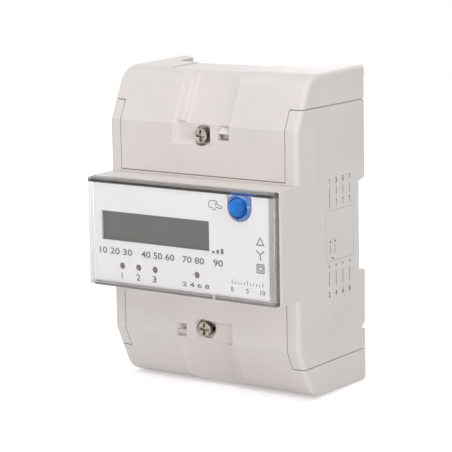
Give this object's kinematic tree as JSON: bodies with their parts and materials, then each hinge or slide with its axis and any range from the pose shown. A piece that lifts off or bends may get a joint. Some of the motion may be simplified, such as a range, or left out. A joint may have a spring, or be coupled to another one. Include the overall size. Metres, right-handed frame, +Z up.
{
  "type": "din rail energy meter",
  "caption": "Rail-mounted energy meter: grey moulded case with clear display window, blue button, sealed terminal covers at both ends and a sprung rail clip.",
  "frame": {"origin": "middle of the flat seat that lies against the mounting rail", "axes": "+X to the right seen from the front, +Y back towards the rail, +Z up"},
  "size_m": [0.0884, 0.0652, 0.126],
  "materials": {
    "case_plastic": "fine-grained moulded polycarbonate, light warm grey",
    "cover_plastic": "fine-grained moulded polycarbonate, light warm grey",
    "clear_plastic": "clear polished polycarbonate",
    "label_sheet": "satin printed sheet, white",
    "blue_plastic": "glossy blue moulding",
    "clip_plastic": "dark grey acetal",
    "spring_steel": "drawn spring wire",
    "display_glass": "unlit liquid crystal cell, grey-green",
    "white_plastic": "white moulding",
    "circuit_board": "green solder mask",
    "plated_steel": "zinc plated steel",
    "brass": "turned brass",
    "block_plastic": "glass filled polyamide, grey",
    "plated_cage": "nickel plated brass",
    "copper": "bare copper strip",
    "red_lamp": "red diffuse lamp",
    "component_black": "black moulding compound",
    "component_blue": "blue dipped coating",
    "component_yellow": "yellow box moulding"
  },
  "bodies": {
    "case": {"board_link": "component_black", "bottom_cover_screw": "plated_steel", "bottom_terminal_cover": "cover_plastic", "button_switch": "component_black", "case_screws": "plated_steel", "clear_window": "clear_plastic", "clip_spring": "spring_steel", "display_board": "circuit_board", "display_board_screws": "plated_steel", "display_glass": "display_glass", "display_holder": "white_plastic", "film_capacitor": "component_yellow", "front_housing": "case_plastic", "label_plate": "label_sheet", "main_board": "circuit_board", "main_board_screws": "plated_steel", "metering_chip": "component_black", "neutral_strap": "copper", "phase_lamp_1": "red_lamp", "phase_lamp_2": "red_lamp", "phase_lamp_3": "red_lamp", "phase_strap_1": "copper", "phase_strap_2": "copper", "phase_strap_3": "copper", "pulse_coupler": "component_black", "pulse_lamp": "red_lamp", "pulse_terminal_1": "plated_cage", "pulse_terminal_2": "plated_cage", "pulse_terminal_screws": "plated_steel", "rear_base": "case_plastic", "supply_capacitor": "component_black", "supply_transformer": "component_black", "terminal_block_bottom": "block_plastic", "terminal_block_top": "block_plastic", "terminal_cage_bottom_1": "plated_cage", "terminal_cage_bottom_2": "plated_cage", "terminal_cage_bottom_3": "plated_cage", "terminal_cage_bottom_4": "plated_cage", "terminal_cage_top_1": "plated_cage", "terminal_cage_top_2": "plated_cage", "terminal_cage_top_3": "plated_cage", "terminal_cage_top_4": "plated_cage", "terminal_screws": "plated_steel", "threaded_inserts": "brass", "top_cover_screw": "plated_steel", "top_terminal_cover": "cover_plastic", "varistors": "component_blue"},
    "button": {"blue_button": "blue_plastic", "switch_plunger": "component_black"},
    "clip": {"rail_clip": "clip_plastic"}
  },
  "joints": [
    {"name": "button_press", "type": "slide", "parent": "case", "child": "button", "axis": [0, 1, 0], "range_m": [0, 0.0005], "stiffness_N_per_m": 2000, "springref_m": -0.0003},
    {"name": "clip_release", "type": "slide", "parent": "case", "child": "clip", "axis": [0, 0, -1], "range_m": [0, 0.003], "stiffness_N_per_m": 3000, "springref_m": -0.003, "deforming": ["clip_spring"]}
  ]
}
